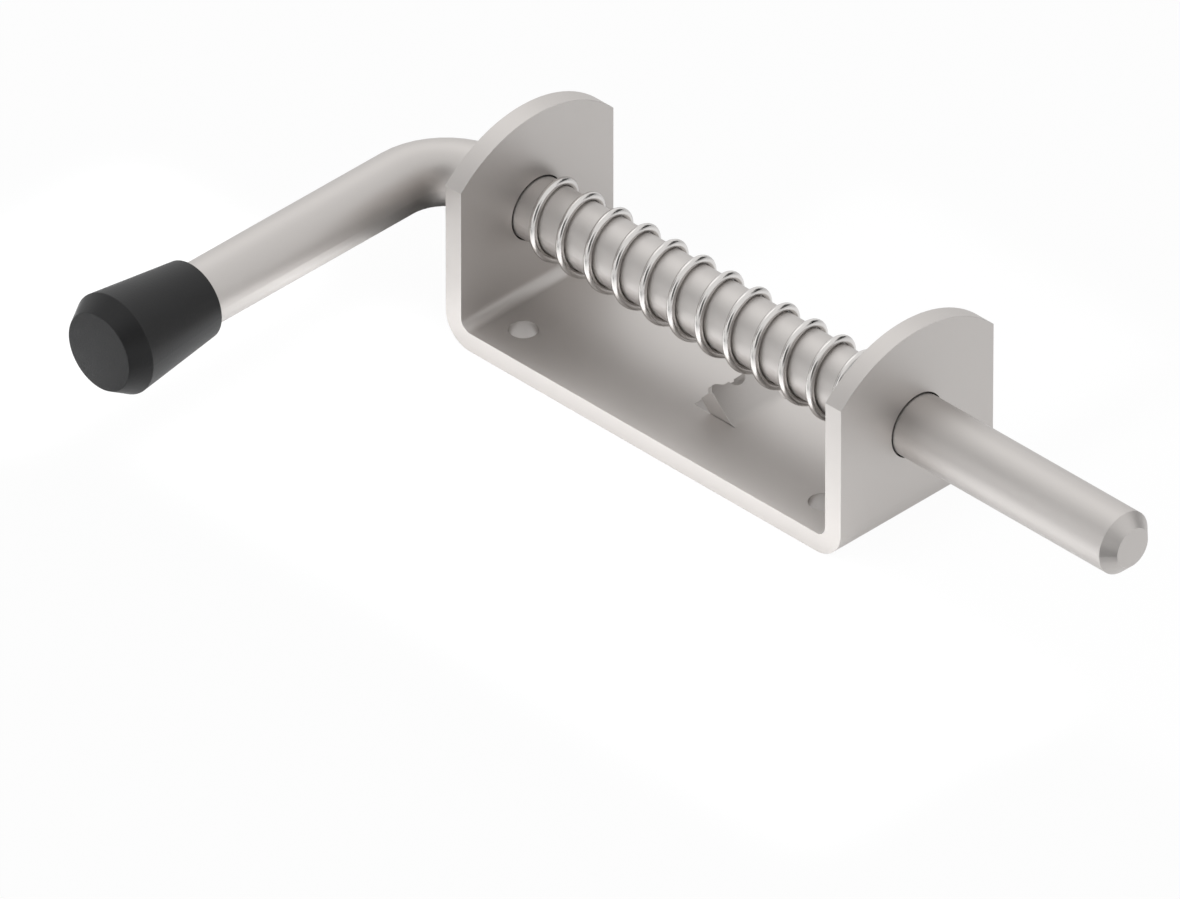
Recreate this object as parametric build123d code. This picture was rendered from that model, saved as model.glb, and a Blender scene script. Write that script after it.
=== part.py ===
"""Spring loaded gate latch, in millimetres.

X runs along the bolt towards its nose, Y across the base plate, Z up from the surface that the
latch is screwed to. The origin is the centre of the fixing holes, on the underside of the base.
"""
import os
from math import asin, cos, degrees, pi, radians, sin, sqrt, tan

from build123d import *

# Bracket: one flat bar folded into a U
plate = 5.0                 # bar thickness
bracket_width = 50.0        # bar width
bracket_length = 129.0      # over the outer faces of the ears
fold_radius = 3.0           # inside radius of every fold
crown_radius = 35.0         # rounded top of an ear
crown_height = 53.5         # highest point of an ear
bore_height = 27.0          # bolt axis above the mounting surface
bore_clearance = 0.25       # between the bolt and an ear, all round

# Four fixing holes in the base
screw_hole = 7.0
screw_spacing_x = 98.0
screw_spacing_y = 30.0

# Catch tab, cut on three sides and folded up out of the base
tab_width = 16.4
tab_length = 13.3           # of the flat blank, from its fold line to the tips of its ears
tab_fold_x = 13.7           # where the fold begins
tab_angle = 44.0            # between the tab and the base
tab_cut = 0.15              # width of the cut round the blank
seat_radius = 2.6           # notch in the free edge, where the cross pin rests
seat_rise = 0.65            # its centre, beyond the edge
seat_land = 1.7             # straight edge on each side of the notch
tab_ear_height = 1.15       # raised corner beyond that edge
tab_ear_top = 1.1           # its flat
tab_ear_inset = 0.8         # from the side of the tab to the flat
tab_ear_thickness = 1.5     # left on the upper face

# Bolt: round bar with a bevelled nose, bent into a handle behind the left ear
bar = 16.0
nose_reach = 69.5           # beyond the outer face of the right ear
nose_bevel = 3.0
bend_radius = 16.0          # on the bar's centre line
bend_gap = 9.0              # from the left ear to the start of the bend
arm_reach = 113.0           # from the bolt's axis to the end of the cap

# Rubber cap on the arm
cap_length = 30.0
cap_mouth = 20.0
cap_large = 25.8
cap_end = 20.0
cap_bevel = 5.0             # along the cap, from its flat end to its largest ring
cap_floor = 5.0             # rubber beyond the end of the bar

# Slotted spring pin through the bolt
pin = 5.0
pin_length = 36.0
pin_wall = 1.0
pin_slot = 0.9
pin_bevel = 0.4
stop_gap = 0.2              # from the pin to the right ear

# Thrust washer between the spring and the pin
washer_bore = 17.0
washer_size = 28.0
washer_thickness = 2.5
washer_bevel = 0.4
seat_gap = 0.05             # between faces that bear on each other and turn

# Compression spring
wire = 2.0
coil = 18.2                 # mean diameter of a turn
spring_turns = 12.0
spring_start = -92.0        # where the wire starts at the left ear: degrees from +Y, about +X
turn_sides = 18             # straight lengths in a turn, and flats round the wire:
wire_sides = 12             # enough to look round, few enough for a light mesh

# Worked out from the above
ear_outer = bracket_length / 2
ear_inner = ear_outer - plate
bore = bar + 2 * bore_clearance
nose_x = ear_outer + nose_reach
arm_x = -ear_outer - bend_gap - bend_radius
bar_end_y = cap_floor - arm_reach
pin_x = ear_inner - stop_gap - pin / 2
washer_x = pin_x - pin / 2 - seat_gap - washer_thickness


def folded_strip(points, width):
    """Bar stock that follows a folded centre line, seen from the side."""
    centre_line = FilletPolyline(*points, radius=fold_radius + plate / 2)
    return extrude(Plane.XZ * trace(centre_line, plate), width / 2, both=True)


def turned(outline, arc=360):
    """A revolved piece, from an outline of (radius, height) points round the Z axis."""
    return revolve(Plane.XZ * make_face(Polyline(*outline, close=True)), Axis.Z, arc)


def ear_outline():
    """An ear seen along the bolt: straight sides, a round crown and the bore."""
    half = bracket_width / 2
    shoulder = crown_height - crown_radius + sqrt(crown_radius**2 - half**2)
    sides = Polyline((half, shoulder), (half, 0), (-half, 0), (-half, shoulder))
    crown = ThreePointArc((-half, shoulder), (0, crown_height), (half, shoulder))
    return make_face([sides, crown]) - Pos(0, bore_height) * Circle(bore / 2)


def catch_tab():
    """The tab, leaning over the window that it came from, with its seat and its two ears."""
    lean = radians(tab_angle)
    middle = fold_radius + plate / 2
    corner_x = tab_fold_x - middle * tan(lean / 2)
    edge_length = tab_length - tab_ear_height - middle * lean + middle * tan(lean / 2)
    edge_x = corner_x - edge_length * cos(lean)
    edge_z = plate / 2 + edge_length * sin(lean)
    strip = folded_strip([(tab_fold_x + plate, plate / 2), (corner_x, plate / 2), (edge_x, edge_z)], tab_width)

    upward = Vector(sin(lean), 0, cos(lean))
    free_edge = Plane(Vector(edge_x, 0, edge_z) + upward * plate / 2, x_dir=(0, 1, 0), z_dir=upward)
    seat = extrude(free_edge * Pos(0, seat_rise) * Circle(seat_radius), plate, both=True)
    root = -tab_ear_thickness
    foot = sqrt(seat_radius**2 - seat_rise**2) + seat_land
    side = tab_width / 2
    flat = side - tab_ear_inset
    ear = make_face(Polyline((foot, root), (foot, 0), (flat - tab_ear_top, tab_ear_height),
                             (flat, tab_ear_height), (side, 0), (side, root), close=True))
    ears = extrude(free_edge * (ear + mirror(ear, Plane.YZ)), -tab_ear_thickness)
    return strip - seat + ears


def bracket():
    """The folded bar with its bores, fixing holes, window and catch tab."""
    side = ear_outer - plate / 2
    channel = folded_strip([(-side, crown_height), (-side, plate / 2), (side, plate / 2),
                            (side, crown_height)], bracket_width)
    channel &= extrude(Plane.YZ * ear_outline(), ear_outer, both=True)
    channel -= GridLocations(screw_spacing_x, screw_spacing_y, 2, 2) * Cylinder(screw_hole / 2, 3 * plate)
    window = Rectangle(tab_length + tab_cut, tab_width + 2 * tab_cut, align=(Align.MAX, Align.CENTER))
    channel -= extrude(Pos(tab_fold_x, 0) * window, plate)
    return channel + catch_tab()


def bolt():
    """The round bar, swept along its bend, with its nose bevelled and a hole for the pin."""
    path = FilletPolyline((nose_x, 0, bore_height), (arm_x, 0, bore_height), (arm_x, bar_end_y, bore_height),
                          radius=bend_radius)
    bent = sweep(Plane(path @ 0, z_dir=path % 0) * Circle(bar / 2), path)
    nose = bent.faces().sort_by(Axis.X)[-1]
    bent = chamfer(nose.edges(), nose_bevel)
    pin_hole = extrude(Plane.XZ.offset(-bar) * Pos(pin_x, bore_height) * Circle(pin / 2), 2 * bar)
    return bent - pin_hole


def handle_cap():
    """Tapered rubber cap, widest near its bevelled end, with a blind hole for the bar."""
    cap = turned([(0, 0), (cap_end / 2, 0), (cap_large / 2, cap_bevel), (cap_mouth / 2, cap_length),
                  (bar / 2, cap_length), (bar / 2, cap_floor), (0, cap_floor)])
    return Pos(arm_x, -arm_reach, bore_height) * Rot(-90, 0, 0) * cap


def cross_pin():
    """Rolled spring pin with bevelled ends, its slot upwards."""
    outer = pin / 2
    inner = outer - pin_wall
    slot_angle = degrees(2 * asin(pin_slot / pin))
    tube = turned([(inner, 0), (outer - pin_bevel, 0), (outer, pin_bevel), (outer, pin_length - pin_bevel),
                   (outer - pin_bevel, pin_length), (inner, pin_length)], 360 - slot_angle)
    return Pos(pin_x, -pin_length / 2, bore_height) * Rot(-90, 0, 0) * Rot(0, 0, slot_angle / 2 - 90) * tube


def thrust_washer():
    """Flat washer with its rims broken."""
    inner = washer_bore / 2
    outer = washer_size / 2
    ring = turned([(inner, washer_bevel), (inner + washer_bevel, 0), (outer - washer_bevel, 0),
                   (outer, washer_bevel), (outer, washer_thickness - washer_bevel),
                   (outer - washer_bevel, washer_thickness), (inner + washer_bevel, washer_thickness),
                   (inner, washer_thickness - washer_bevel)])
    return Pos(washer_x, 0, bore_height) * Rot(0, 90, 0) * ring


def spring():
    """Round wire in an even right-hand helix of short mitred lengths, from the left ear to the washer."""
    start_x = -ear_inner + wire / 2 + seat_gap
    length = washer_x - wire / 2 - seat_gap - start_x
    corner = coil / 2 / cos(pi / turn_sides)
    lengths = round(spring_turns * turn_sides)
    points = []
    for i in range(lengths + 1):
        turn = radians(spring_start) + 2 * pi * i / turn_sides
        points.append((start_x + length * i / lengths, corner * cos(turn), bore_height + corner * sin(turn)))
    path = Polyline(*points)
    end = Plane(path @ 0, z_dir=path % 0)
    return sweep(end * RegularPolygon(wire / 2, wire_sides), path, transition=Transition.RIGHT)


def main():
    """Write one STEP file for each piece."""
    os.makedirs("parts", exist_ok=True)
    for piece in (bracket, bolt, handle_cap, spring, thrust_washer, cross_pin):
        export_step(piece(), f"parts/{piece.__name__}.step")


main()
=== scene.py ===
import bpy
from math import cos, pi, radians, sin
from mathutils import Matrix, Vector


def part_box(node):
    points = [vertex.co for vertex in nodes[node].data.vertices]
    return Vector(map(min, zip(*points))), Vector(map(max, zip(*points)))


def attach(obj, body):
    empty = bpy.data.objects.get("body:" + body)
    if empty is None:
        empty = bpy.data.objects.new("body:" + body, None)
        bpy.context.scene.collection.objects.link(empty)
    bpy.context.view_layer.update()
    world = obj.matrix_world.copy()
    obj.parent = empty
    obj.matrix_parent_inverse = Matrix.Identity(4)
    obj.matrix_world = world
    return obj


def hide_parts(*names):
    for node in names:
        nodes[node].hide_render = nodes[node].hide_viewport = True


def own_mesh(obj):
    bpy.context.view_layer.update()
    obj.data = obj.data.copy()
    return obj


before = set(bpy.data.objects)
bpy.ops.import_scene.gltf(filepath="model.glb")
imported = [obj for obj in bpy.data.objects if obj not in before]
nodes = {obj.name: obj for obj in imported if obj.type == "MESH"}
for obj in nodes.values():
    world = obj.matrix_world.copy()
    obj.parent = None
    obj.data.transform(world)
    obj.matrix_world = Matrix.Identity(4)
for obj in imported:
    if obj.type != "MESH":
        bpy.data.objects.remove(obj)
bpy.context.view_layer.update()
print("frame loaded:", ", ".join(sorted(nodes)))

scene = bpy.context.scene
mm = 0.001
white = (1, 1, 1, 1)


# sRGB hex to the linear colour that Blender's sockets take
def linearColour(hexCode):
    channels = [int(hexCode[i:i + 2], 16) / 255 for i in (0, 2, 4)]
    return (*[c / 12.92 if c <= 0.04045 else ((c + 0.055) / 1.055) ** 2.4 for c in channels], 1)


# adds one node to a shader or geometry tree, with its settings, socket values and links
def addNode(tree, kind, values={}, links={}, **settings):
    node = tree.nodes.new(kind)
    for name, value in settings.items():
        setattr(node, name, value)
    for socket, value in values.items():
        node.inputs[socket].default_value = value
    for socket, source in links.items():
        tree.links.new(source, node.inputs[socket])
    return node


# an empty material, and its node tree
def newMaterial(name):
    material = bpy.data.materials.new(name)
    material.use_nodes = True
    material.node_tree.nodes.clear()
    return material, material.node_tree


# The camera, at the photograph's angle
camera = {
    "azimuth": 45.0508,
    "elevation": 35.1133,
    "lens": 1200,                       # a long lens from far away, nearly without perspective
    "distance": 9.114,                  # m
    "nearest": 0.1,                     # m, what is closer is cut off
    "aim": (-17.02, -25.09, -8.07),     # mm, the point in the middle of the picture
}


def addCamera():
    azimuth, elevation = radians(camera["azimuth"]), radians(camera["elevation"])
    back = Vector((sin(azimuth) * cos(elevation), -cos(azimuth) * cos(elevation), sin(elevation)))
    data = bpy.data.cameras.new("camera")
    data.lens = camera["lens"]
    data.clip_start, data.clip_end = camera["nearest"], 2 * camera["distance"]
    thing = bpy.data.objects.new("camera", data)
    scene.collection.objects.link(thing)
    thing.rotation_mode = "QUATERNION"
    thing.rotation_quaternion = (-back).to_track_quat("-Z", "Y")
    thing.location = Vector(camera["aim"]) * mm + back * camera["distance"]
    scene.camera = thing


addCamera()
print("camera placed")

# The studio: white surroundings, soft lamps and a pale floor
studio = {
    "worldLight": 0.5,                  # what the surroundings give to matt surfaces, where 1 is white
    "floorColour": "F2F3F4",
    "floorSize": 6.0,                   # m
    "floorSeen": 0.96,                  # share of plain white in what the camera sees of the floor
    "floorMirrored": 0.5,               # and in what metal mirrors of it
    "cards": {                          # matt cards that are only mirrored: place and size in m, colour
        "front_card": ((-0.87, -0.87, 0.84), 0.9, "A0A0A0"),
        "camera_card": ((0.76, -0.76, 0.75), 1.0, "4C4C4C"),
        "nose_card": ((0.215, -0.075, 0.002), 0.13, "606060"),
        "cap_card": ((-0.03, -0.17, 0.002), 0.09, "3C3C3C"),
        "bend_card": ((-0.094, 0.018, 0.002), 0.07, "303030"),
        "back_card": ((0.25, 1.2, 0.12), 0.9, "202020"),
    },
    "lowest": 0.01,                     # m, a card that is lower than this lies flat on the floor
    "lamps": {                          # place, aim and size in m, spread in degrees, watts
        "back_lamp": ((-0.95, 0.45, 1.15), (0, 0, 0.03), (0.9, 0.9), 180, 1.3),
        "front_lamp": ((-0.7, -1.3, 1.1), (0, 0, 0.03), (1.2, 1.2), 180, 2.4),
        # low panels that face the floor, and give the cut edges and the flats a bright floor to mirror
        "near_glow": ((0.028, -0.039, 0.013), (0.028, -0.039, 0), (0.224, 0.024), 120, 0.045),
        "front_glow": ((0.028, -0.082, 0.013), (0.028, -0.082, 0), (0.224, 0.058), 120, 0.06),
        "right_glow": ((0.155, 0.06, 0.013), (0.155, 0.06, 0), (0.165, 0.18), 120, 0.04),
        "left_glow": ((-0.135, -0.08, 0.013), (-0.135, -0.08, 0), (0.06, 0.1), 120, 0.08),
        "rear_glow": ((0.01, 0.062, 0.013), (0.01, 0.062, 0), (0.1, 0.06), 120, 0.012),
    },
}


# how much of a ray is seen by the eye, and how much is mirrored or seen through glass
def addRayShares(tree):
    rays = addNode(tree, "ShaderNodeLightPath").outputs
    through = addNode(tree, "ShaderNodeMath", operation="MAXIMUM",
                      links={0: rays["Is Glossy Ray"], 1: rays["Is Transmission Ray"]})
    return rays["Is Camera Ray"], through.outputs[0]


def addWorld():
    world = bpy.data.worlds.new("studio")
    scene.world = world
    world.use_nodes = True
    tree = world.node_tree
    tree.nodes.clear()
    eye, mirrored = addRayShares(tree)
    seen = addNode(tree, "ShaderNodeMath", operation="MAXIMUM", links={0: eye, 1: mirrored})
    strength = addNode(tree, "ShaderNodeMapRange", values={"To Min": studio["worldLight"], "To Max": 1.0},
                       links={"Value": seen.outputs[0]})
    light = addNode(tree, "ShaderNodeBackground", values={"Color": white},
                    links={"Strength": strength.outputs[0]})
    addNode(tree, "ShaderNodeOutputWorld", links={"Surface": light.outputs[0]})
    world.cycles.sampling_method = "NONE"       # so that metal sees all of its white


def addLamps():
    for name, (place, target, size, spread, watts) in studio["lamps"].items():
        data = bpy.data.lights.new(name, "AREA")
        data.shape = "RECTANGLE"
        data.size, data.size_y = size
        data.spread = radians(spread)
        data.energy = watts
        lamp = bpy.data.objects.new(name, data)
        scene.collection.objects.link(lamp)
        lamp.location = place
        lamp.rotation_mode = "QUATERNION"
        lamp.rotation_quaternion = (Vector(target) - Vector(place)).to_track_quat("-Z", "Y")


# a flat square of the studio, which is no part of the object
def addSquare(name, place, facing, size, finish):
    half = size / 2
    mesh = bpy.data.meshes.new(name)
    corners = [(-half, -half, 0), (half, -half, 0), (half, half, 0), (-half, half, 0)]
    mesh.from_pydata(corners, [], [(0, 1, 2, 3)])
    mesh.materials.append(finish)
    square = bpy.data.objects.new(name, mesh)
    scene.collection.objects.link(square)
    square.location = place
    square.rotation_mode = "QUATERNION"
    square.rotation_quaternion = Vector(facing).to_track_quat("Z", "Y")
    return square


def addFloor():
    paint, tree = newMaterial("matt floor paint")
    eye, mirrored = addRayShares(tree)
    eyeShare = addNode(tree, "ShaderNodeMath", operation="MULTIPLY", values={1: studio["floorSeen"]},
                       links={0: eye})
    share = addNode(tree, "ShaderNodeMath", operation="MULTIPLY_ADD", values={1: studio["floorMirrored"]},
                    links={0: mirrored, 2: eyeShare.outputs[0]})
    matt = addNode(tree, "ShaderNodeBsdfDiffuse", values={"Color": linearColour(studio["floorColour"])})
    shining = addNode(tree, "ShaderNodeEmission", values={"Color": white, "Strength": 1.0})
    mixed = addNode(tree, "ShaderNodeMixShader",
                    links={0: share.outputs[0], 1: matt.outputs[0], 2: shining.outputs[0]})
    addNode(tree, "ShaderNodeOutputMaterial", links={"Surface": mixed.outputs[0]})
    paint.cycles.emission_sampling = "NONE"
    addSquare("floor", (0, 0, 0), (0, 0, 1), studio["floorSize"], paint)


def addCards():
    for name, (place, size, colour) in studio["cards"].items():
        paint, tree = newMaterial(name + " matt card")
        matt = addNode(tree, "ShaderNodeBsdfDiffuse", values={"Color": linearColour(colour)})
        addNode(tree, "ShaderNodeOutputMaterial", links={"Surface": matt.outputs[0]})
        facing = (0, 0, 1) if place[2] < studio["lowest"] else -Vector(place)
        card = addSquare(name, place, facing, size, paint)
        card.visible_camera = card.visible_diffuse = card.visible_shadow = False


addWorld()
addLamps()
addFloor()
addCards()
scene.view_settings.view_transform = "Standard"
print("studio lit")

# Finishes. Blasted stainless steel: cut and folded from bar, then blasted with fine glass beads, which
# leaves an even satin without lines; edges are rubbed a little brighter, drilled holes are smoother.
blastedSteel = {
    "colour": "CBC7C4",
    "cloudColour": "C6C2BF",            # where the beads struck a little less
    "edgeColour": "D6D3D0",
    "boreShadeColour": "23211F",           # painted shade: the walls of the two bores are darkened to stand for the shadow in the gap round the bolt
    "roughness": (0.46, 0.53),
    "edgeRoughness": 0.42,
    "holeRoughness": 0.3,
    "cloud": 25.0,                      # mm, one patch of the faint clouding
    "grain": 0.45,                      # mm, bead marks: really about 0.15, drawn coarser so that they show
    "grainDepth": 0.012,                # mm
    "detail": 2.0,                      # octaves of both patterns
    "edgeRadius": 0.2,                  # mm, the rounding that the beads leave on an edge
    "fixingHoles": (49.0, 15.0, 3.62),  # mm, their place on both sides of the middle, and radius
    "bore": (27.0, 8.38, 59.0),         # mm, its height, radius and where the ears begin
}
bevelSamples = 4
edgeStart, edgeFull = 0.995, 0.9        # how far a rounded normal still agrees with its face's


# 0 on flat and gently curved faces and 1 on the rounding of an edge
def addEdgeMask(tree, rounded):
    face = addNode(tree, "ShaderNodeNewGeometry")
    along = addNode(tree, "ShaderNodeVectorMath", operation="DOT_PRODUCT",
                    links={0: rounded.outputs["Normal"], 1: face.outputs["Normal"]})
    mask = addNode(tree, "ShaderNodeMapRange", values={"From Min": edgeStart, "From Max": edgeFull},
                   links={"Value": along.outputs["Value"]})
    return mask.outputs[0]


# 1 within a radius of a line along one axis, from the two coordinates across it
def addRoundMask(tree, across, upward, centre, radius):
    offset = addNode(tree, "ShaderNodeCombineXYZ", links={"X": across, "Y": upward})
    reach = addNode(tree, "ShaderNodeVectorMath", operation="DISTANCE", links={0: offset.outputs[0]},
                    values={1: (centre[0] * mm, centre[1] * mm, 0)})
    return addNode(tree, "ShaderNodeMath", operation="LESS_THAN", links={0: reach.outputs["Value"]},
                   values={1: radius * mm}).outputs[0]


def addBlastedSteel(name, drilled):
    look = blastedSteel
    material, tree = newMaterial(name)
    place = addNode(tree, "ShaderNodeTexCoord").outputs["Object"]
    cloud = addNode(tree, "ShaderNodeTexNoise", links={"Vector": place},
                    values={"Scale": 1 / (look["cloud"] * mm), "Detail": look["detail"]}).outputs["Fac"]
    grain = addNode(tree, "ShaderNodeTexNoise", links={"Vector": place},
                    values={"Scale": 1 / (look["grain"] * mm), "Detail": look["detail"]}).outputs["Fac"]
    rounded = addNode(tree, "ShaderNodeBevel", samples=bevelSamples,
                      values={"Radius": look["edgeRadius"] * mm})
    edge = addEdgeMask(tree, rounded)
    colour = addNode(tree, "ShaderNodeMix", data_type="RGBA", links={0: cloud},
                     values={6: linearColour(look["cloudColour"]),
                             7: linearColour(look["colour"])}).outputs[2]
    colour = addNode(tree, "ShaderNodeMix", data_type="RGBA", links={0: edge, 6: colour},
                     values={7: linearColour(look["edgeColour"])}).outputs[2]
    roughness = addNode(tree, "ShaderNodeMapRange", links={"Value": cloud},
                        values={"To Min": look["roughness"][0], "To Max": look["roughness"][1]}).outputs[0]
    roughness = addNode(tree, "ShaderNodeMix", links={0: edge, 2: roughness},
                        values={3: look["edgeRoughness"]}).outputs[0]
    if drilled:
        spot = addNode(tree, "ShaderNodeSeparateXYZ", links={0: place}).outputs
        x, y = [addNode(tree, "ShaderNodeMath", operation="ABSOLUTE", links={0: spot[i]}).outputs[0]
                for i in (0, 1)]
        holeX, holeY, holeRadius = look["fixingHoles"]
        hole = addRoundMask(tree, x, y, (holeX, holeY), holeRadius)
        boreHeight, boreRadius, earStart = look["bore"]
        bore = addRoundMask(tree, spot[1], spot[2], (0, boreHeight), boreRadius)
        ear = addNode(tree, "ShaderNodeMath", operation="GREATER_THAN", links={0: x},
                      values={1: earStart * mm}).outputs[0]
        # painted shade: a dark colour on the bore walls of the ears, in place of the shadow inside them
        paintedBoreShade = addNode(tree, "ShaderNodeMath", operation="MULTIPLY", links={0: bore, 1: ear}).outputs[0]
        colour = addNode(tree, "ShaderNodeMix", data_type="RGBA", links={0: paintedBoreShade, 6: colour},
                         values={7: linearColour(look["boreShadeColour"])}).outputs[2]
        roughness = addNode(tree, "ShaderNodeMix", links={0: hole, 2: roughness},
                            values={3: look["holeRoughness"]}).outputs[0]
    bump = addNode(tree, "ShaderNodeBump", values={"Strength": 1.0, "Distance": look["grainDepth"] * mm},
                   links={"Height": grain, "Normal": rounded.outputs["Normal"]})
    shader = addNode(tree, "ShaderNodeBsdfPrincipled", values={"Metallic": 1.0},
                     links={"Base Color": colour, "Roughness": roughness, "Normal": bump.outputs["Normal"]})
    addNode(tree, "ShaderNodeOutputMaterial", links={"Surface": shader.outputs[0]})
    return material


# The small steel pieces. Zinc plate is bright and bluish with faint clouds, phosphate is a dark matt
# grey that holds oil: both are thin coats that leave the edges as they are.
coatedSteel = {
    "zinc plated steel": {
        "colour": "C9CCCF",
        "cloudColour": "B4B7B6",
        "roughness": (0.26, 0.4),
        "cloud": 4.0,                   # mm
        "detail": 4.0,
        "metallic": 1.0,
    },
    "phosphated spring steel": {
        "colour": "4B4B4C",
        "cloudColour": "3C3B3A",
        "roughness": (0.42, 0.56),
        "cloud": 2.0,                   # mm
        "detail": 4.0,
        "metallic": 0.85,
    },
}


def addCoatedSteel(name):
    look = coatedSteel[name]
    material, tree = newMaterial(name)
    place = addNode(tree, "ShaderNodeTexCoord").outputs["Object"]
    cloud = addNode(tree, "ShaderNodeTexNoise", links={"Vector": place},
                    values={"Scale": 1 / (look["cloud"] * mm), "Detail": look["detail"]}).outputs["Fac"]
    colour = addNode(tree, "ShaderNodeMix", data_type="RGBA", links={0: cloud},
                     values={6: linearColour(look["cloudColour"]),
                             7: linearColour(look["colour"])}).outputs[2]
    roughness = addNode(tree, "ShaderNodeMapRange", links={"Value": cloud},
                        values={"To Min": look["roughness"][0], "To Max": look["roughness"][1]}).outputs[0]
    shader = addNode(tree, "ShaderNodeBsdfPrincipled", values={"Metallic": look["metallic"]},
                     links={"Base Color": colour, "Roughness": roughness})
    addNode(tree, "ShaderNodeOutputMaterial", links={"Surface": shader.outputs[0]})
    return material


# Bright drawn spring wire: pulled through a die, so it is smooth and shiny with faint lines along it
springWire = {
    "colour": "DEDBD9",
    "lineColour": "CCC9C6",
    "roughness": (0.2, 0.26),
    "lineWidth": 0.12,                  # mm, drawing lines: really about 0.03, drawn coarser
    "lineLength": 9.0,                  # mm
    "lineDepth": 0.0004,                # mm
    "detail": 2.0,
}


def addSpringWire():
    look = springWire
    material, tree = newMaterial("bright drawn spring wire")
    across = addNode(tree, "ShaderNodeAttribute", attribute_name="acrossWire").outputs["Vector"]
    along = addNode(tree, "ShaderNodeAttribute", attribute_name="alongWire").outputs["Fac"]
    wide = addNode(tree, "ShaderNodeVectorMath", operation="SCALE", links={0: across},
                   values={"Scale": 1 / (look["lineWidth"] * mm)})
    far = addNode(tree, "ShaderNodeMath", operation="MULTIPLY", links={0: along},
                  values={1: 1 / (look["lineLength"] * mm)})
    lift = addNode(tree, "ShaderNodeCombineXYZ", links={"Z": far.outputs[0]})
    spot = addNode(tree, "ShaderNodeVectorMath", operation="ADD",
                   links={0: wide.outputs[0], 1: lift.outputs[0]})
    lines = addNode(tree, "ShaderNodeTexNoise", values={"Scale": 1.0, "Detail": look["detail"]},
                    links={"Vector": spot.outputs[0]}).outputs["Fac"]
    colour = addNode(tree, "ShaderNodeMix", data_type="RGBA", links={0: lines},
                     values={6: linearColour(look["lineColour"]),
                             7: linearColour(look["colour"])}).outputs[2]
    roughness = addNode(tree, "ShaderNodeMapRange", links={"Value": lines},
                        values={"To Min": look["roughness"][1], "To Max": look["roughness"][0]}).outputs[0]
    bump = addNode(tree, "ShaderNodeBump", values={"Strength": 1.0, "Distance": look["lineDepth"] * mm},
                   links={"Height": lines})
    shader = addNode(tree, "ShaderNodeBsdfPrincipled", values={"Metallic": 1.0},
                     links={"Base Color": colour, "Roughness": roughness, "Normal": bump.outputs["Normal"]})
    addNode(tree, "ShaderNodeOutputMaterial", links={"Surface": shader.outputs[0]})
    return material


# Moulded black rubber: carbon-filled, matt from a fine spark-eroded mould, a little greyer where it is
# handled and on its edges
capRubber = {
    "colour": "171718",
    "greyColour": "202021",
    "edgeColour": "303031",
    "roughness": (0.42, 0.5),
    "specular": 0.36,                   # a waxy bloom on the rubber keeps its shine low
    "cloud": 12.0,                      # mm
    "cloudDetail": 3.0,
    "grain": 0.5,                       # mm, mould texture: really about 0.1, drawn coarser
    "grainDepth": 0.03,                 # mm
    "grainDetail": 2.0,
    "edgeRadius": 0.4,                  # mm
}


def addCapRubber():
    look = capRubber
    material, tree = newMaterial("moulded black rubber")
    place = addNode(tree, "ShaderNodeTexCoord").outputs["Object"]
    cloud = addNode(tree, "ShaderNodeTexNoise", links={"Vector": place},
                    values={"Scale": 1 / (look["cloud"] * mm), "Detail": look["cloudDetail"]}).outputs["Fac"]
    grain = addNode(tree, "ShaderNodeTexNoise", links={"Vector": place},
                    values={"Scale": 1 / (look["grain"] * mm), "Detail": look["grainDetail"]}).outputs["Fac"]
    rounded = addNode(tree, "ShaderNodeBevel", samples=bevelSamples,
                      values={"Radius": look["edgeRadius"] * mm})
    edge = addEdgeMask(tree, rounded)
    colour = addNode(tree, "ShaderNodeMix", data_type="RGBA", links={0: cloud},
                     values={6: linearColour(look["colour"]),
                             7: linearColour(look["greyColour"])}).outputs[2]
    colour = addNode(tree, "ShaderNodeMix", data_type="RGBA", links={0: edge, 6: colour},
                     values={7: linearColour(look["edgeColour"])}).outputs[2]
    roughness = addNode(tree, "ShaderNodeMapRange", links={"Value": cloud},
                        values={"To Min": look["roughness"][0], "To Max": look["roughness"][1]}).outputs[0]
    bump = addNode(tree, "ShaderNodeBump", values={"Strength": 1.0, "Distance": look["grainDepth"] * mm},
                   links={"Height": grain, "Normal": rounded.outputs["Normal"]})
    shader = addNode(tree, "ShaderNodeBsdfPrincipled", values={"Specular IOR Level": look["specular"]},
                     links={"Base Color": colour, "Roughness": roughness, "Normal": bump.outputs["Normal"]})
    addNode(tree, "ShaderNodeOutputMaterial", links={"Surface": shader.outputs[0]})
    return material


wireSteel = addSpringWire()
for name, finish in (("bracket", addBlastedSteel("blasted stainless steel flat bar", drilled=True)),
                     ("bolt", addBlastedSteel("blasted stainless steel round bar", drilled=False)),
                     ("handle_cap", addCapRubber()),
                     ("thrust_washer", addCoatedSteel("zinc plated steel")),
                     ("cross_pin", addCoatedSteel("phosphated spring steel"))):
    mesh = nodes[name].data
    mesh.materials.clear()
    mesh.materials.append(finish)
print("finishes made")

# The compression spring, in Geometry Nodes
spring = {
    "turns": 12.2,
    "coil": 18.05,                      # mm, mean diameter, so the wire just touches the bolt
    "closing": (2.0, 0.53, 1.7, 1.34),  # turns wound closer and by how many mm, at the start and the end
    "wire": 2.0,                        # mm
    "startAngle": -92.0,                # degrees from +Y, about +X
    "stepsPerTurn": 48,
    "wireSides": 20,
}


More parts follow.
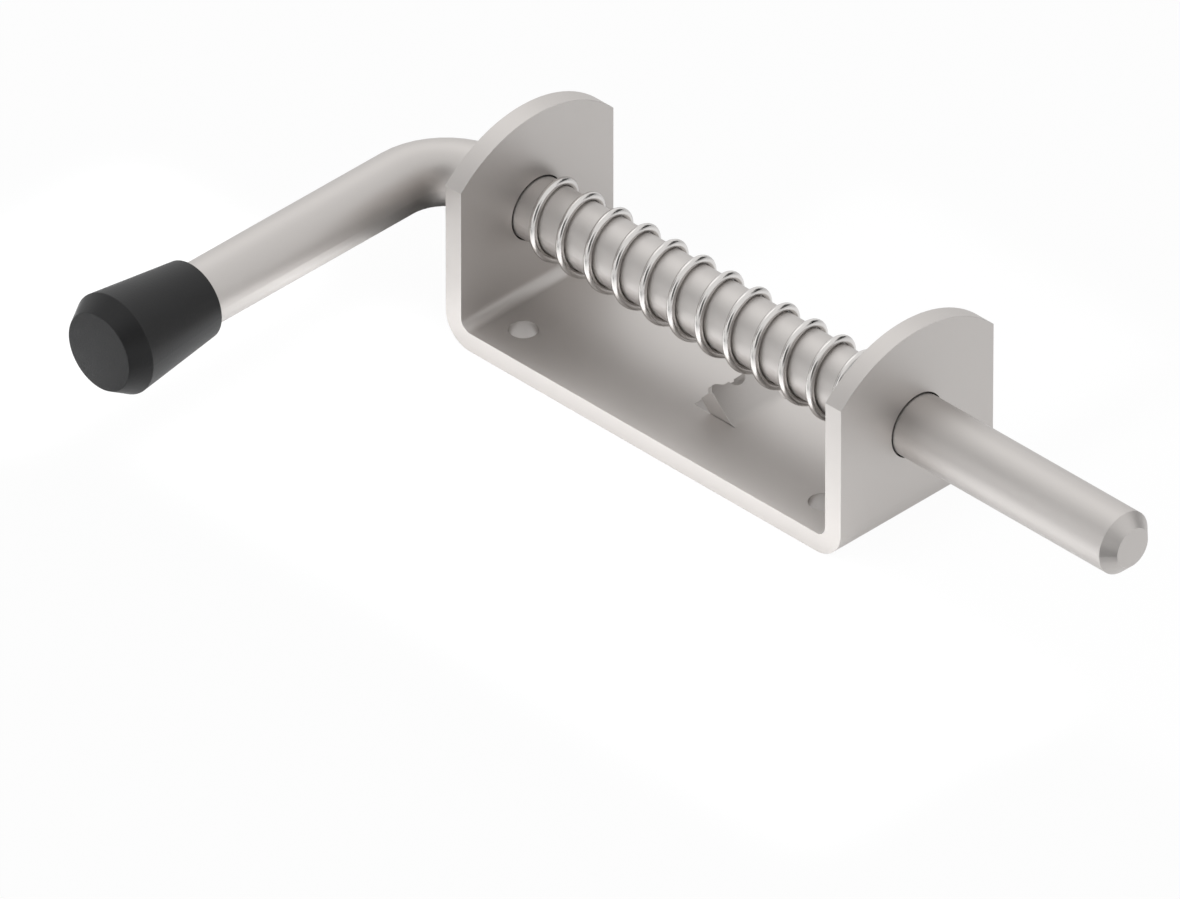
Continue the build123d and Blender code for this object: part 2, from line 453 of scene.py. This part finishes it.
def buildSpringTree():
    tree = bpy.data.node_groups.new("coiled spring", "GeometryNodeTree")
    face = tree.interface
    kinds = {"NodeSocketVector": ["Start"], "NodeSocketMaterial": ["Finish"],
             "NodeSocketInt": ["Steps", "Wire Sides"],
             "NodeSocketFloat": ["Length", "Turns", "Start Angle", "First Turns", "First Closing",
                                 "Last Turns", "Last Closing", "Coil Radius", "Wire Radius"]}
    for kind, names in kinds.items():
        for name in names:
            face.new_socket(name, in_out="INPUT", socket_type=kind)
    face.new_socket("Spring", in_out="OUTPUT", socket_type="NodeSocketGeometry")
    given = addNode(tree, "NodeGroupInput").outputs
    count = addNode(tree, "ShaderNodeMath", operation="ADD", values={1: 1.0}, links={0: given["Steps"]})
    line = addNode(tree, "GeometryNodeMeshLine", links={"Count": count.outputs[0]})
    curve = addNode(tree, "GeometryNodeMeshToCurve", links={"Mesh": line.outputs[0]})
    along = addNode(tree, "GeometryNodeSplineParameter").outputs["Factor"]
    turned = addNode(tree, "ShaderNodeMath", operation="MULTIPLY", links={0: along, 1: given["Turns"]})
    angle = addNode(tree, "ShaderNodeMath", operation="MULTIPLY_ADD", values={1: 2 * pi},
                    links={0: turned.outputs[0], 2: given["Start Angle"]})
    across = addNode(tree, "ShaderNodeMath", operation="COSINE", links={0: angle.outputs[0]})
    upward = addNode(tree, "ShaderNodeMath", operation="SINE", links={0: angle.outputs[0]})
    y = addNode(tree, "ShaderNodeMath", operation="MULTIPLY",
                links={0: across.outputs[0], 1: given["Coil Radius"]})
    z = addNode(tree, "ShaderNodeMath", operation="MULTIPLY",
                links={0: upward.outputs[0], 1: given["Coil Radius"]})
    # an even pitch, with the first and last turns drawn in towards the middle of the spring
    first = addNode(tree, "ShaderNodeMapRange", interpolation_type="SMOOTHSTEP", values={"To Max": 0.0},
                    links={"Value": turned.outputs[0], "From Max": given["First Turns"],
                           "To Min": given["First Closing"]})
    lastStart = addNode(tree, "ShaderNodeMath", operation="SUBTRACT",
                        links={0: given["Turns"], 1: given["Last Turns"]})
    last = addNode(tree, "ShaderNodeMapRange", interpolation_type="SMOOTHSTEP", values={"To Min": 0.0},
                   links={"Value": turned.outputs[0], "From Min": lastStart.outputs[0],
                          "From Max": given["Turns"], "To Max": given["Last Closing"]})
    closings = addNode(tree, "ShaderNodeMath", operation="ADD",
                       links={0: given["First Closing"], 1: given["Last Closing"]})
    evenLength = addNode(tree, "ShaderNodeMath", operation="ADD",
                         links={0: given["Length"], 1: closings.outputs[0]})
    even = addNode(tree, "ShaderNodeMath", operation="MULTIPLY", links={0: along, 1: evenLength.outputs[0]})
    shifted = addNode(tree, "ShaderNodeMath", operation="SUBTRACT",
                      links={0: even.outputs[0], 1: given["First Closing"]})
    opened = addNode(tree, "ShaderNodeMath", operation="ADD",
                     links={0: shifted.outputs[0], 1: first.outputs[0]})
    x = addNode(tree, "ShaderNodeMath", operation="SUBTRACT",
                links={0: opened.outputs[0], 1: last.outputs[0]})
    point = addNode(tree, "ShaderNodeCombineXYZ",
                    links={"X": x.outputs[0], "Y": y.outputs[0], "Z": z.outputs[0]})
    placed = addNode(tree, "ShaderNodeVectorMath", operation="ADD",
                     links={0: point.outputs[0], 1: given["Start"]})
    helix = addNode(tree, "GeometryNodeSetPosition",
                    links={"Geometry": curve.outputs[0], "Position": placed.outputs[0]})
    # the wire's finish follows these two: the way along it, and the place in its section
    wayAlong = addNode(tree, "GeometryNodeSplineParameter").outputs["Length"]
    helix = addNode(tree, "GeometryNodeStoreNamedAttribute", data_type="FLOAT",
                    values={"Name": "alongWire"}, links={"Geometry": helix.outputs[0], "Value": wayAlong})
    section = addNode(tree, "GeometryNodeCurvePrimitiveCircle",
                      links={"Resolution": given["Wire Sides"], "Radius": given["Wire Radius"]})
    placeAcross = addNode(tree, "GeometryNodeInputPosition").outputs[0]
    section = addNode(tree, "GeometryNodeStoreNamedAttribute", data_type="FLOAT_VECTOR",
                      values={"Name": "acrossWire"},
                      links={"Geometry": section.outputs[0], "Value": placeAcross})
    wire = addNode(tree, "GeometryNodeCurveToMesh", values={"Fill Caps": True},
                   links={"Curve": helix.outputs[0], "Profile Curve": section.outputs[0]})
    whole = addNode(tree, "GeometryNodeRealizeInstances", links={"Geometry": wire.outputs[0]})
    painted = addNode(tree, "GeometryNodeSetMaterial",
                      links={"Geometry": whole.outputs[0], "Material": given["Finish"]})
    addNode(tree, "NodeGroupOutput", links={0: painted.outputs[0]})
    return tree


def addSpring():
    low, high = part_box("spring")
    wire = spring["wire"] / 2 * mm
    tree = buildSpringTree()
    values = {
        "Start": (low.x + wire, 0, (low.z + high.z) / 2),
        "Length": high.x - low.x - 2 * wire,
        "Turns": spring["turns"],
        "First Turns": spring["closing"][0],
        "First Closing": spring["closing"][1] * mm,
        "Last Turns": spring["closing"][2],
        "Last Closing": spring["closing"][3] * mm,
        "Coil Radius": spring["coil"] / 2 * mm,
        "Wire Radius": wire,
        "Start Angle": radians(spring["startAngle"]),
        "Steps": round(spring["turns"] * spring["stepsPerTurn"]),
        "Wire Sides": spring["wireSides"],
        "Finish": wireSteel,
    }
    maker = bpy.data.objects.new("spring_maker", bpy.data.meshes.new("spring_maker"))
    scene.collection.objects.link(maker)
    modifier = maker.modifiers.new("coil", "NODES")
    modifier.node_group = tree
    for item in tree.interface.items_tree:
        if item.in_out == "INPUT":
            modifier[item.identifier] = values[item.name]
    result = bpy.data.meshes.new_from_object(maker.evaluated_get(bpy.context.evaluated_depsgraph_get()))
    bpy.data.objects.remove(maker)
    result.name = "compression_spring"
    for face in result.polygons:
        face.use_smooth = len(face.vertices) == 4       # the wire's two end caps stay flat
    piece = bpy.data.objects.new("compression_spring", result)
    scene.collection.objects.link(piece)
    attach(piece, "bracket")
    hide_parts("spring")
    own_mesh(piece)


addSpring()
print("spring coiled")
